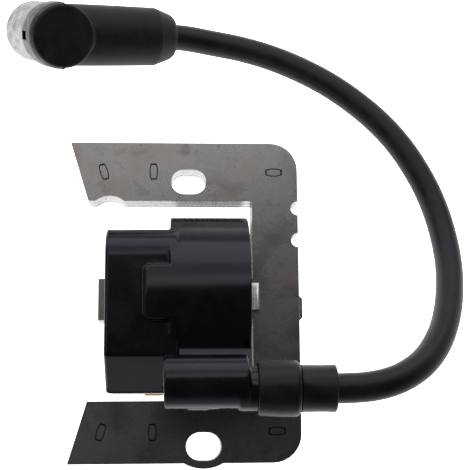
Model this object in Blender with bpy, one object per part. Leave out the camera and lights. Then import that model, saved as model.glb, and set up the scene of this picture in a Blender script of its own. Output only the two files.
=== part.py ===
"""Ignition coil (magneto ignition module) of a small four-stroke engine.

An E-shaped stack of steel laminations carries a moulded module on its centre leg. The module's tower feeds a
7 mm high-tension lead, which ends in a rubber elbow boot with a metal shield for the spark plug.

Frame: the module lies on its open back. +Z points from the back to the front of the laminations, +Y runs
from the lower arm to the upper arm, and +X from the arms' tips to the spine. The origin is at the centre of
the underside of everything but the free lead and its boot. Dimensions are in millimetres, and MM turns them
into Blender's metres.
"""
import math

import bmesh
import bpy
from mathutils import Vector

MM = 0.001
GAP = 0.3                     # clearance between pieces that touch

# --- where the laminations sit -----------------------------------------------------------------------------
SPINE_X = 25.75               # outer face of the spine
CENTRE_Y = 0.65               # centre line of the centre leg
LEG_Z = 22.0                  # middle of the lamination stack
STACK = 8.5                   # thickness of the stack
CORE_LOW = LEG_Z - STACK / 2
CORE_HIGH = LEG_Z + STACK / 2

# --- lamination outline, x measured back from the spine's outer face, y from the centre line ---------------
CORE_HALF = 40.25             # half of the height over both arms
ARM_INNER = 25.1              # inner edge of each arm
UPPER_TIP = (57.75, 53.15)                 # where the arm's outer and inner edges end
LOWER_TIP = (57.3, 52.7)
SPINE_WIDTH = 11.7
CORNER_R = 7.0
LEG_HALF, LEG_REACH = 5.2, 50.3
UPPER_SLOT = (27.75, 30.1, 8.9, 6.4)       # back, up, length, width
LOWER_SLOT = (24.1, -36.2, 8.7, 6.9)
EAR_HALF, EAR_RISE = 4.8, 1.3              # the bulge round the lower slot
NOTCH_R, NOTCH_Y = 1.8, (23.3, 15.1)       # round notches in the spine's outer edge
TIP_NOTCH = (47.75, 7.3, 1.3)              # back, width and depth of the shallow notch in the upper arm
LUG_REACH, LUG_LOW, LUG_HIGH, LUG_SLOPE = 1.25, -4.2, 0.7, 1.0
LUG_THICKNESS = 4.2

# --- moulded case -------------------------------------------------------------------------------------------
WALL = 1.8
COIL_R = 21.2                 # the round bulge over the transformer
COIL_BACK, COIL_FRONT = 32.4, 13.0
BLOCK_BACK = 47.9
BLOCK_UP, BLOCK_DOWN = 16.35, -22.6
BLOCK_TOP, BLOCK_ROUND = 40.5, 7.5
SLOPE_Y, SLOPE_Z = -14.9, 30.0             # the sloping shoulder starts at this y and ends at this height
LEAN = 0.75                                # draft of the lower wall below the shoulder
WINDOW_BACK, WINDOW_HALF = 38.4, 6.6       # raised panel that runs from the bulge on to the block
TOWER_Y, TOWER_Z, TOWER_R = -21.45, 46.25, 6.2
TOWER_BACK, TOWER_FRONT = 33.7, 14.4
OUTLET_Y = -23.05
NECK_R, NECK_FRONT = 5.2, 3.5
LEAD_BORE = 3.8
PIN_SEAT = 29.0
BORE_HALF = LEG_HALF + GAP
BORE_LOW, BORE_HIGH = CORE_LOW - GAP, CORE_HIGH + 1.7

# --- coils on the centre leg, x measured back from the spine -------------------------------------------------
SPOOL_TUBE_R = 8.8
PRIMARY = (29.9, 15.1, 11.0, 10.6)         # back end, front end, flange radius, winding radius
CHARGE = (45.7, 36.8, 13.0, 12.2)
TRIGGER = (36.2, 32.2, 12.0, 11.2)
FLANGE = 0.8
INSULATION_IN, INSULATION_OUT = 11.3, 11.8
SECONDARY_IN, SECONDARY_TUBE, SECONDARY_FLANGE, SECONDARY_WOUND = 12.1, 13.1, 18.2, 17.2
SECTIONS = 4

# --- circuit, x measured back from the spine, y from the centre line, z from the underside ------------------
BOARD = ((45.5, 30.8), (-14.6, -13.4), (4.0, 29.0))
CAPACITOR = ((45.0, 34.5), (-19.9, -14.9), (16.5, 28.5))
THYRISTOR = ((44.5, 38.0), (-19.3, -14.9), (4.6, 11.8))
STRAP = ((31.7, 31.1), (-13.1, -5.5), (18.0, 22.0))
SPADE_WIDTH, SPADE_THICK, SPADE_BACK = 4.8, 0.5, 39.0
SPADE_TOP, SPADE_TIP, SPADE_RECESS = 13.4, 4.5, 0.5        # the spade lies in a shallow recess of the wall
POTTING_LOW, POTTING_HIGH = 0.5, 3.0
CLIP = ((45.8, 10.15), (-2.8, 4.0), (CORE_HIGH + GAP, CORE_HIGH + 1.2))

# --- rubber sleeve on the tower's neck ----------------------------------------------------------------------
SLEEVE_BACK, SLEEVE_SHOULDER, SLEEVE_END = 12.3, 2.3, -6.25
SLEEVE_R, SLEEVE_SMALL_R = 6.5, 5.4

# --- boot on the lead's far end, in the part's frame --------------------------------------------------------
ELBOW = Vector((-36.9, 71.0, 22.75))
BOOT_DIR = Vector((0.932, 0.116, -0.345)).normalized()   # from the elbow towards the mouth
PLUG_DIR = Vector((-0.363, 0.367, -0.858)).normalized()  # from the elbow towards the spark plug, square to it
ARM_R, ARM_END_R, ARM_MOUTH_R = 8.1, 7.75, 6.0
ARM_TAPER, ARM_LENGTH = 27.6, 33.2
HEAD_R, HEAD_RISE, HEAD_DEPTH = 8.2, 8.75, 2.6
PLUG_R, PLUG_NECK_R, PLUG_STEP, PLUG_LENGTH = 7.8, 7.4, 4.2, 15.5
CAVITY_R, CAVITY_TOP = 5.2, 2.6
SHIELD_TOP, SHIELD_STEP, SHIELD_END = -6.0, 4.6, 21.2
SHIELD_R, SHIELD_END_R, SHEET = 8.65, 8.2, 0.45
TERMINAL_R, TERMINAL_LENGTH = 4.6, 8.0
LEAD_SEAT = 6.2               # where the lead ends, from the elbow

# --- the lead's route, in the part's frame ------------------------------------------------------------------
LEAD_R = 3.5
LEAD_ROUTE = [
    (4.0, -22.4, 46.25), (14.0, -22.4, 46.25), (24.0, -22.4, 46.25), (33.5, -22.4, 46.2),
    (39.8, -22.0, 45.8), (44.8, -20.9, 44.9), (49.1, -19.1, 43.2), (53.1, -16.5, 40.9),
    (56.5, -13.2, 37.9), (59.6, -8.9, 34.3), (61.8, -4.5, 30.8), (63.6, 0.6, 27.2),
    (65.1, 7.9, 22.6), (65.4, 15.3, 18.7), (64.4, 23.8, 15.6), (62.2, 31.7, 13.5),
    (58.7, 39.4, 12.1), (54.4, 46.3, 11.0), (49.0, 52.6, 10.1), (42.8, 58.2, 9.3),
    (36.2, 63.0, 8.6), (28.7, 67.2, 8.0), (21.1, 70.5, 7.6), (13.0, 72.9, 7.6),
    (4.3, 74.3, 8.5), (-3.8, 74.95, 10.55), (-13.6, 73.9, 14.14), (-22.5, 72.8, 17.43),
    (-31.13, 71.72, 20.62),
]
ROUTE_STEP = 5.0

# --- finishes: colour, metallic, roughness ------------------------------------------------------------------
FINISHES = {
    "steel": ((0.21, 0.205, 0.20), 0.9, 0.42),
    "tinned": ((0.55, 0.55, 0.55), 0.9, 0.35),
    "case": ((0.012, 0.012, 0.015), 0.0, 0.32),
    "rubber": ((0.022, 0.022, 0.024), 0.0, 0.55),
    "epoxy": ((0.05, 0.03, 0.02), 0.0, 0.3),
    "nylon": ((0.45, 0.42, 0.33), 0.0, 0.5),
    "copper": ((0.55, 0.22, 0.09), 1.0, 0.35),
    "film": ((0.60, 0.50, 0.20), 0.0, 0.4),
    "board": ((0.28, 0.22, 0.09), 0.0, 0.5),
    "component": ((0.03, 0.03, 0.03), 0.0, 0.5),
    "brass": ((0.60, 0.42, 0.14), 1.0, 0.3),
}


# --- tools --------------------------------------------------------------------------------------------------
def clear_scene():
    for old in list(bpy.context.scene.objects):
        bpy.data.objects.remove(old, do_unlink=True)


def finish_material(key):
    colour, metallic, roughness = FINISHES[key]
    material = bpy.data.materials.get(key) or bpy.data.materials.new(key)
    material.use_nodes = True
    shader = material.node_tree.nodes["Principled BSDF"]
    shader.inputs["Base Color"].default_value = (*colour, 1.0)
    shader.inputs["Metallic"].default_value = metallic
    shader.inputs["Roughness"].default_value = roughness
    return material


def from_bmesh(name, shape, finish, at=(0.0, 0.0, 0.0), direction=None, smooth=False):
    """Make an object of a bmesh drawn in millimetres. Its local +Z is turned to direction."""
    bmesh.ops.recalc_face_normals(shape, faces=shape.faces)
    bmesh.ops.scale(shape, vec=(MM, MM, MM), verts=shape.verts)
    mesh = bpy.data.meshes.new(name)
    shape.to_mesh(mesh)
    shape.free()
    if smooth:
        mesh.shade_smooth()
        mesh.set_sharp_from_angle(angle=math.radians(35))
    mesh.materials.append(finish_material(finish))
    item = bpy.data.objects.new(name, mesh)
    item.location = Vector(at) * MM
    if direction is not None:
        item.rotation_euler = Vector(direction).to_track_quat("Z", "Y").to_euler()
    bpy.context.scene.collection.objects.link(item)
    return item


def arc(centre, radius, start, end, steps):
    """Points on an arc, both ends included, angles in degrees."""
    turn = [math.radians(start + (end - start) * i / steps) for i in range(steps + 1)]
    return [(centre[0] + radius * math.cos(a), centre[1] + radius * math.sin(a)) for a in turn]


def prism(name, outline, axis, low, high, finish, smooth=False):
    """Extrude an outline along an axis. The outline is (y, z) for X and (x, y) for Z."""
    place = {"X": lambda p, d: (d, p[0], p[1]), "Z": lambda p, d: (p[0], p[1], d)}[axis]
    shape = bmesh.new()
    base = shape.faces.new([shape.verts.new(place(p, low)) for p in outline])
    grown = bmesh.ops.extrude_face_region(shape, geom=[base])
    top = [v for v in grown["geom"] if isinstance(v, bmesh.types.BMVert)]
    bmesh.ops.translate(shape, verts=top, vec=place((0.0, 0.0), high - low))
    return from_bmesh(name, shape, finish, smooth=smooth)


def box(name, x, y, z, finish):
    outline = [(x[0], y[0]), (x[1], y[0]), (x[1], y[1]), (x[0], y[1])]
    return prism(name, outline, "Z", z[0], z[1], finish)


def turned(name, profile, at, direction, finish, sides=32):
    """Turn a closed profile of (radius, height) about direction. Points at radius 0 close the ends."""
    shape = bmesh.new()
    rings = []
    for radius, height in profile:
        if radius == 0.0:
            rings.append([shape.verts.new((0.0, 0.0, height))])
            continue
        angles = [2 * math.pi * i / sides for i in range(sides)]
        rings.append([shape.verts.new((radius * math.cos(a), radius * math.sin(a), height)) for a in angles])
    for ring, following in zip(rings, rings[1:] + rings[:1]):
        if len(ring) == 1 and len(following) == 1:
            continue
        for i in range(sides):
            j = (i + 1) % sides
            corners = [ring[i % len(ring)], ring[j % len(ring)], following[j % len(following)],
                       following[i % len(following)]]
            shape.faces.new(list(dict.fromkeys(corners)))
    return from_bmesh(name, shape, finish, at=at, direction=direction, smooth=True)


def rod(name, start, direction, radius, length, finish, sides=24):
    profile = [(0.0, 0.0), (radius, 0.0), (radius, length), (0.0, length)]
    return turned(name, profile, start, direction, finish, sides)


def combine(target, operation, *tools):
    """Join tools to target (UNION) or cut them from it (DIFFERENCE), and keep only target."""
    for tool in tools:
        modifier = target.modifiers.new("combine", "BOOLEAN")
        modifier.solver = "EXACT"
        modifier.operation = operation
        modifier.object = tool
        bpy.context.view_layer.update()
        evaluated = target.evaluated_get(bpy.context.evaluated_depsgraph_get())
        mesh = bpy.data.meshes.new_from_object(evaluated)
        target.modifiers.clear()
        target.data = mesh
        bpy.data.objects.remove(tool, do_unlink=True)
    return target


def smooth_route(points, step):
    """Points about one step apart on a Catmull-Rom curve through the given points."""
    knots = [Vector(p) for p in points]
    ends = [2 * knots[0] - knots[1]] + knots + [2 * knots[-1] - knots[-2]]
    line = [knots[0]]
    for before, a, b, after in zip(ends, ends[1:], ends[2:], ends[3:]):
        count = max(1, round((b - a).length / step))
        for i in range(1, count + 1):
            t = i / count
            line.append(0.5 * (2 * a + (b - before) * t + (2 * before - 5 * a + 4 * b - after) * t * t
                               + (3 * a - before - 3 * b + after) * t ** 3))
    return line


def tube(name, points, radius, finish, roundness):
    curve = bpy.data.curves.new(name, "CURVE")
    curve.dimensions = "3D"
    curve.bevel_depth = radius * MM
    curve.bevel_resolution = roundness
    curve.render_resolution_u = 0
    curve.use_fill_caps = True
    spline = curve.splines.new("POLY")
    spline.points.add(len(points) - 1)
    for slot, point in zip(spline.points, points):
        slot.co = (*(Vector(point) * MM), 1.0)
    curve.materials.append(finish_material(finish))
    item = bpy.data.objects.new(name, curve)
    bpy.context.scene.collection.objects.link(item)
    return item


def back(distance):
    """x of a place measured back from the spine's outer face."""
    return SPINE_X - distance


def up(height):
    """y of a place measured from the centre line."""
    return CENTRE_Y + height


def span(limits, turn):
    return tuple(sorted(turn(value) for value in limits))


# --- laminations --------------------------------------------------------------------------------------------
def slot_outline(slot):
    reach, rise, length, width = slot
    half = (length - width) / 2
    right = arc((back(reach) + half, up(rise)), width / 2, -90, 90, 12)
    left = arc((back(reach) - half, up(rise)), width / 2, 90, 270, 12)
    return right + left


def core_outline():
    """The E shape, counter-clockwise from the lower arm's tip."""
    ear_r = (EAR_HALF ** 2 + EAR_RISE ** 2) / (2 * EAR_RISE)
    ear_turn = math.degrees(math.asin(EAR_HALF / ear_r))
    ear_centre = (back(LOWER_SLOT[0]), up(-CORE_HALF) - EAR_RISE + ear_r)
    corner = back(CORNER_R)
    tip_back, tip_width, tip_depth = TIP_NOTCH
    tip_r = ((tip_width / 2) ** 2 + tip_depth ** 2) / (2 * tip_depth)
    tip_turn = math.degrees(math.asin(tip_width / 2 / tip_r))
    tip_centre = (back(tip_back), up(ARM_INNER) + tip_depth - tip_r)
    points = [(back(LOWER_TIP[1]), up(-ARM_INNER)), (back(LOWER_TIP[0]), up(-CORE_HALF))]
    points += arc(ear_centre, ear_r, 270 - ear_turn, 270 + ear_turn, 10)
    points += arc((corner, up(-CORE_HALF + CORNER_R)), CORNER_R, 270, 360, 8)
    for rise in reversed(NOTCH_Y):
        points += arc((SPINE_X, up(rise)), NOTCH_R, 270, 90, 8)
    points += arc((corner, up(CORE_HALF - CORNER_R)), CORNER_R, 0, 90, 8)
    points += [(back(UPPER_TIP[0]), up(CORE_HALF)), (back(UPPER_TIP[1]), up(ARM_INNER))]
    points += arc(tip_centre, tip_r, 90 + tip_turn, 90 - tip_turn, 6)
    points += [(back(SPINE_WIDTH), up(ARM_INNER)), (back(SPINE_WIDTH), up(LEG_HALF)),
               (back(LEG_REACH), up(LEG_HALF)), (back(LEG_REACH), up(-LEG_HALF)),
               (back(SPINE_WIDTH), up(-LEG_HALF)), (back(SPINE_WIDTH), up(-ARM_INNER))]
    return points


def build_core():
    core = prism("core_lamination_stack", core_outline(), "Z", CORE_LOW, CORE_HIGH, "steel", smooth=True)
    lug = prism("lug", [(SPINE_X - 2.0, up(LUG_LOW - LUG_SLOPE - 2.0 * LUG_SLOPE)),
                        (SPINE_X + LUG_REACH, up(LUG_LOW)), (SPINE_X + LUG_REACH, up(LUG_HIGH)),
                        (SPINE_X - 2.0, up(LUG_HIGH + LUG_SLOPE + 2.0 * LUG_SLOPE))],
                "Z", CORE_LOW, CORE_LOW + LUG_THICKNESS, "steel")
    combine(core, "UNION", lug)
    slots = [prism("slot", slot_outline(slot), "Z", CORE_LOW - 1, CORE_HIGH + 1, "steel", smooth=True)
             for slot in (UPPER_SLOT, LOWER_SLOT)]
    combine(core, "DIFFERENCE", *slots)
    box("coil_retaining_clip", span(CLIP[0], back), span(CLIP[1], up), CLIP[2], "tinned")


# --- moulded case -------------------------------------------------------------------------------------------
def tunnel(radius, floor, steps):
    """A round-topped outline with straight legs down to the floor, as (y, z)."""
    return [(up(radius), floor)] + arc((up(0), LEG_Z), radius, 0, 180, steps) + [(up(-radius), floor)]


def block_outline(inset, floor):
    """The end block's outline as (y, z), moved inwards by inset."""
    top = BLOCK_TOP - inset
    high = up(BLOCK_UP - inset)
    low = up(BLOCK_DOWN + inset)
    round_r = BLOCK_ROUND - inset
    curve = arc((up(BLOCK_UP - BLOCK_ROUND), BLOCK_TOP - BLOCK_ROUND), round_r, 0, 90, 8)
    shoulder = [(up(SLOPE_Y + inset * 0.4), top), (low - LEAN, SLOPE_Z - inset * 0.4)]
    return [(high, floor)] + curve + shoulder + [(low, floor)]


def wall_at(height):
    """y of the lower wall's outer face at a height."""
    return up(BLOCK_DOWN) - LEAN * height / SLOPE_Z


def bore_box(name, low, high):
    """The rectangular way through a piece for the centre leg and the retaining clip."""
    return box(name, (back(low), back(high)), (up(-BORE_HALF), up(BORE_HALF)), (BORE_LOW, BORE_HIGH), "case")


def build_case():
    case = prism("module_case", tunnel(COIL_R, 0.0, 36), "X", back(COIL_BACK), back(COIL_FRONT), "case")
    block = prism("block", block_outline(0.0, 0.0), "X", back(BLOCK_BACK), back(COIL_BACK - 0.4), "case")
    window = math.degrees(math.asin(WINDOW_HALF / COIL_R))
    panel = prism("panel", arc((up(0), LEG_Z), COIL_R, 90 - window, 90 + window, 8)
                  + [(up(-WINDOW_HALF), BLOCK_TOP - 3), (up(WINDOW_HALF), BLOCK_TOP - 3)],
                  "X", back(WINDOW_BACK), back(COIL_BACK - 0.3), "case")
    web = box("web", (back(TOWER_BACK), back(COIL_FRONT + 0.1)), (up(BLOCK_DOWN), up(-14.0)), (0.0, 33.0), "case")
    rib = box("rib", (back(TOWER_BACK), back(TOWER_FRONT)), (up(BLOCK_DOWN), up(-15.8)), (30.0, TOWER_Z), "case")
    tower = rod("tower", (back(TOWER_BACK), up(TOWER_Y), TOWER_Z), (1, 0, 0), TOWER_R,
                TOWER_BACK - TOWER_FRONT, "case", 40)
    neck = rod("neck", (back(TOWER_FRONT + 1), up(OUTLET_Y), TOWER_Z), (1, 0, 0), NECK_R,
               TOWER_FRONT + 1 - NECK_FRONT, "case", 32)
    combine(case, "UNION", block, panel, web, rib, tower, neck)
    cavity = prism("cavity", tunnel(COIL_R - WALL, -1.0, 36), "X", back(COIL_BACK - WALL),
                   back(COIL_FRONT + WALL), "case")
    block_cavity = prism("block_cavity", block_outline(WALL, -1.0), "X", back(BLOCK_BACK - WALL),
                         back(COIL_BACK - WALL - 0.2), "case")
    web_cavity = box("web_cavity", (back(COIL_BACK - WALL), back(COIL_FRONT + WALL)),
                     (up(BLOCK_DOWN + WALL), up(-14.5)), (-1.0, 31.0), "case")
    lead_bore = rod("lead_bore", (back(PIN_SEAT + GAP), up(OUTLET_Y), TOWER_Z), (1, 0, 0), LEAD_BORE,
                    PIN_SEAT + 1, "case", 24)
    wire_duct = rod("wire_duct", (back(27.0), up(-18.9), 29.0), (0, 0, 1), 1.3, 15.0, "case", 16)
    leg_way = bore_box("leg_way", BLOCK_BACK + 1, COIL_FRONT - 1)
    spade_way = box("spade_way", (back(SPADE_BACK + GAP), back(SPADE_BACK - SPADE_WIDTH - GAP)),
                    (up(BLOCK_DOWN - 1), up(BLOCK_DOWN + WALL + 1)),
                    (SPADE_TOP - SPADE_THICK - GAP, SPADE_TOP + GAP), "case")
    recess = box("recess", (back(SPADE_BACK + GAP), back(SPADE_BACK - SPADE_WIDTH - GAP)),
                 (up(BLOCK_DOWN - 2), wall_at(SPADE_TOP) + SPADE_RECESS), (-1.0, SPADE_TOP + GAP), "case")
    combine(case, "DIFFERENCE", cavity, block_cavity, web_cavity, lead_bore, wire_duct, leg_way, spade_way,
            recess)
    case.data.shade_smooth()
    case.data.set_sharp_from_angle(angle=math.radians(35))


def build_potting():
    """The poured cap follows the inside of the case's open back."""
    inset = WALL + GAP
    left, step, right = back(BLOCK_BACK - inset), back(COIL_BACK - inset), back(COIL_FRONT + inset)
    low, block_high, coil_high = up(BLOCK_DOWN + inset), up(BLOCK_UP - inset), up(COIL_R - inset)
    outline = [(left, low), (right, low), (right, coil_high), (step, coil_high), (step, block_high),
               (left, block_high)]
    prism("potting_cap", outline, "Z", POTTING_LOW, POTTING_HIGH, "epoxy")


# --- coils ----------------------------------------------------------------------------------------------------
def build_spool(name, coil, tube_r):
    rear, front, flange_r, _ = coil
    length = rear - front
    profile = [(0.0, 0.0), (flange_r, 0.0), (flange_r, FLANGE), (tube_r, FLANGE),
               (tube_r, length - FLANGE), (flange_r, length - FLANGE), (flange_r, length), (0.0, length)]
    spool = turned(name, profile, (back(rear), up(0), LEG_Z), (1, 0, 0), "nylon", 28)
    combine(spool, "DIFFERENCE", bore_box("bore", rear + 1, front - 1))


def build_ring(name, rear, front, inner, outer, finish):
    length = rear - front
    profile = [(inner, 0.0), (outer, 0.0), (outer, length), (inner, length)]
    turned(name, profile, (back(rear), up(0), LEG_Z), (1, 0, 0), finish, 28)


def build_coils():
    for label, coil in (("primary", PRIMARY), ("charge_coil", CHARGE), ("trigger_coil", TRIGGER)):
        build_spool(label + "_bobbin", coil, SPOOL_TUBE_R)
        rear, front, _, wound_r = coil
        side = FLANGE + GAP
        build_ring(label + "_winding", rear - side, front + side, SPOOL_TUBE_R + GAP, wound_r, "copper")
    rear, front = PRIMARY[0], PRIMARY[1]
    build_ring("interlayer_insulation", rear, front, INSULATION_IN, INSULATION_OUT, "film")
    pitch = (rear - front - FLANGE) / SECTIONS
    profile = [(SECONDARY_IN, 0.0)]
    for i in range(SECTIONS + 1):
        foot = [] if i == 0 else [(SECONDARY_TUBE, i * pitch)]
        profile += foot + [(SECONDARY_FLANGE, i * pitch), (SECONDARY_FLANGE, i * pitch + FLANGE)]
        profile += [(SECONDARY_TUBE, i * pitch + FLANGE)] if i < SECTIONS else []
    profile.append((SECONDARY_IN, SECTIONS * pitch + FLANGE))
    turned("secondary_bobbin", profile, (back(rear), up(0), LEG_Z), (1, 0, 0), "nylon", 28)
    for i in range(SECTIONS):
        start = rear - i * pitch - FLANGE - GAP
        build_ring(f"secondary_winding_{i + 1}", start, start - pitch + FLANGE + 2 * GAP,
                   SECONDARY_TUBE + GAP, SECONDARY_WOUND, "copper")


# --- circuit --------------------------------------------------------------------------------------------------
def build_circuit():
    for name, limits, finish in (("circuit_board", BOARD, "board"), ("storage_capacitor", CAPACITOR, "film"),
                                 ("thyristor", THYRISTOR, "component"), ("ground_strap", STRAP, "tinned")):
        box(name, span(limits[0], back), span(limits[1], up), limits[2], finish)
    for name, reach, foot in (("charge_diode", 35.9, 4.8), ("clamp_diode", 32.8, 4.8),
                              ("gate_resistor", 32.6, 17.5)):
        rod(name, (back(reach), up(-16.4), foot), (0, 0, 1), 1.25, 5.4, "component", 16)
    outer = wall_at(SPADE_TOP) + SPADE_RECESS - GAP
    section = [(up(-15.0), SPADE_TOP), (outer - SPADE_THICK, SPADE_TOP), (outer - SPADE_THICK, SPADE_TIP),
               (outer, SPADE_TIP), (outer, SPADE_TOP - SPADE_THICK), (up(-15.0), SPADE_TOP - SPADE_THICK)]
    prism("stop_switch_terminal", section, "X", back(SPADE_BACK), back(SPADE_BACK - SPADE_WIDTH), "brass")


def build_output():
    pin = [(0.0, 0.0), (3.0, 0.0), (3.0, 1.0), (1.2, 1.0), (1.2, 5.5), (0.0, 6.9)]
    turned("high_tension_terminal", pin, (back(PIN_SEAT - GAP), up(OUTLET_Y), TOWER_Z), (1, 0, 0), "brass", 24)
    wire = [(back(27.0), up(-18.9), height) for height in (26.5, 34.0, 42.8)]
    tube("secondary_output_wire", [Vector(point) for point in wire], 0.45, "copper", 2)


# --- lead and sleeve ------------------------------------------------------------------------------------------
def build_sleeve():
    """Rubber sleeve, turned about the outlet's axis, its origin at its back end."""
    large = SLEEVE_BACK - SLEEVE_SHOULDER
    length = SLEEVE_BACK - SLEEVE_END
    over_neck = SLEEVE_BACK - NECK_FRONT + GAP
    profile = [(NECK_R + GAP, 0.0), (SLEEVE_R - 0.3, 0.0), (SLEEVE_R, 0.4), (SLEEVE_R - 0.05, large - 1.2)]
    profile += [(SLEEVE_SMALL_R + r, large - 1.2 + h) for r, h in ((0.9, 0.5), (0.55, 1.0), (0.0, 1.3))]
    profile += [(SLEEVE_SMALL_R, length - 0.5), (SLEEVE_SMALL_R - 0.5, length), (LEAD_BORE, length),
                (LEAD_BORE, over_neck), (NECK_R + GAP, over_neck)]
    turned("lead_sleeve", profile, (back(SLEEVE_BACK), up(OUTLET_Y), TOWER_Z), (1, 0, 0), "rubber", 32)


def build_lead():
    tube("ignition_lead", smooth_route(LEAD_ROUTE, ROUTE_STEP), LEAD_R, "rubber", 3)


# --- boot, terminal and shield --------------------------------------------------------------------------------
def along(direction, distance):
    return ELBOW + direction * distance


def build_boot():
    """Rubber elbow, its origin on the lead's axis, which it turns about."""
    arm_profile = [(0.0, 0.0), (ARM_R, 0.0), (ARM_R, ARM_TAPER / 2), (ARM_END_R, ARM_TAPER),
                   (ARM_MOUTH_R, ARM_LENGTH - 1.0), (ARM_MOUTH_R - 0.8, ARM_LENGTH - 0.2),
                   (LEAD_BORE + 0.7, ARM_LENGTH), (0.0, ARM_LENGTH)]
    boot = turned("plug_boot", arm_profile, ELBOW, BOOT_DIR, "rubber", 36)
    rise = HEAD_RISE
    plug_profile = [(0.0, 0.0), (HEAD_R - 0.6, 0.0), (HEAD_R, 0.6), (HEAD_R, HEAD_DEPTH), (PLUG_R, HEAD_DEPTH),
                    (PLUG_R, rise + PLUG_STEP), (PLUG_NECK_R, rise + PLUG_STEP),
                    (PLUG_NECK_R, rise + PLUG_LENGTH), (0.0, rise + PLUG_LENGTH)]
    plug = turned("plug", plug_profile, along(PLUG_DIR, -rise), PLUG_DIR, "rubber", 36)
    combine(boot, "UNION", plug)
    cavity = rod("cavity", along(PLUG_DIR, -CAVITY_TOP), PLUG_DIR, CAVITY_R, CAVITY_TOP + PLUG_LENGTH + 1,
                 "rubber", 28)
    lead_bore = rod("lead_bore", ELBOW, BOOT_DIR, LEAD_BORE, ARM_LENGTH + 1, "rubber", 24)
    combine(boot, "DIFFERENCE", cavity, lead_bore)
    boot.data.shade_smooth()
    boot.data.set_sharp_from_angle(angle=math.radians(35))


def build_terminal():
    """Spring clip that snaps on the spark plug, and the pin that joins it to the lead."""
    wall = 0.6
    cup = [(0.0, 0.0), (TERMINAL_R, 0.0), (TERMINAL_R, TERMINAL_LENGTH), (TERMINAL_R - wall, TERMINAL_LENGTH),
           (TERMINAL_R - wall, wall), (0.0, wall)]
    turned("plug_terminal_clip", cup, along(PLUG_DIR, -CAVITY_TOP + GAP), PLUG_DIR, "brass", 24)
    start = TERMINAL_R + GAP
    rod("lead_terminal_pin", along(BOOT_DIR, start), BOOT_DIR, 1.2, LEAD_SEAT - GAP - start, "brass", 16)


def build_shield():
    """Sheet-metal shield round the plug end, cut away for the boot's arm."""
    length = SHIELD_END - SHIELD_TOP
    step = SHIELD_STEP - SHIELD_TOP
    profile = [(SHIELD_R - SHEET, 0.0), (SHIELD_R, 0.0), (SHIELD_R, step), (SHIELD_END_R, step + 0.6),
               (SHIELD_END_R, length), (SHIELD_END_R - SHEET, length), (SHIELD_END_R - SHEET, step + 0.6),
               (SHIELD_R - SHEET, step)]
    shield = turned("plug_shield", profile, along(PLUG_DIR, SHIELD_TOP), PLUG_DIR, "tinned", 40)
    clear = ARM_R + 0.4
    arm_way = rod("arm_way", ELBOW, BOOT_DIR, clear, 20.0, "tinned", 36)
    combine(shield, "DIFFERENCE", arm_way)
    side = BOOT_DIR.cross(PLUG_DIR).normalized() * clear
    rise = PLUG_DIR * (SHIELD_TOP - 2.0)
    reach = BOOT_DIR * 20.0
    shape = bmesh.new()
    corners = [shape.verts.new(ELBOW + sign * side + lift + out)
               for sign in (-1, 1) for lift in (rise, Vector((0, 0, 0))) for out in (Vector((0, 0, 0)), reach)]
    bmesh.ops.convex_hull(shape, input=corners)
    combine(shield, "DIFFERENCE", from_bmesh("notch", shape, "tinned"))
    shield.data.shade_smooth()
    shield.data.set_sharp_from_angle(angle=math.radians(35))


clear_scene()
build_core()
build_case()
build_potting()
build_coils()
build_circuit()
build_output()
build_sleeve()
build_lead()
build_boot()
build_terminal()
build_shield()
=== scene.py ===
"""Looks of the ignition coil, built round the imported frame.

The laminations are stacked from separate punched sheets. The case, the potting and the boot are skins of
distance formulas with rounded edges and fillets. The sleeve and the shield are turned, and the strip and the
spade are pressed. Shapes are drawn in millimetres in the CAD's frame, and MM turns them into metres.
"""
import math

import bmesh
import bpy
import numpy as np
from mathutils import Matrix, Vector


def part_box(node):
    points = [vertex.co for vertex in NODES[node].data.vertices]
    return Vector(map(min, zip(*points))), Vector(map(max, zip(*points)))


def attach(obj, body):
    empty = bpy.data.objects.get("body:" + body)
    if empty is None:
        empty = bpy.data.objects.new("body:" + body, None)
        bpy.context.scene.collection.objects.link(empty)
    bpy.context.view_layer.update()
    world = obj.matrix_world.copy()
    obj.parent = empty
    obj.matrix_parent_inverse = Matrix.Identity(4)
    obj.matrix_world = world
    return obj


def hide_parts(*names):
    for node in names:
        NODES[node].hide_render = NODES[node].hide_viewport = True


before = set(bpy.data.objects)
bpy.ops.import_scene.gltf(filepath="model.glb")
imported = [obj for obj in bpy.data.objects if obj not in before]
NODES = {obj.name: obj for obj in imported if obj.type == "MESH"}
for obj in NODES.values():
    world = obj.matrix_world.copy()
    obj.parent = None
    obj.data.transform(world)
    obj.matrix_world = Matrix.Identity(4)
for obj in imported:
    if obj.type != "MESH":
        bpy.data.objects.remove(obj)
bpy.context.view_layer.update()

MM = 0.001


def place(node):
    """Lowest and highest corner of a CAD node, in millimetres."""
    low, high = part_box(node)
    return low / MM, high / MM


# --- the frame's main places, in millimetres --------------------------
# Names in _BACK and _FRONT are distances back from the spine's edge, and names in _UP, _DOWN and _Y are
# heights over the centre leg's middle. Those of the boot and shield run from the elbow along an axis.
CORE_LOW, CORE_HIGH = place("core_lamination_stack")
CASE_LOW, CASE_HIGH = place("module_case")
SPINE_X = 25.75
CENTRE_Y = 0.65
LEG_Z = (CORE_LOW.z + CORE_HIGH.z) / 2

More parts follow.
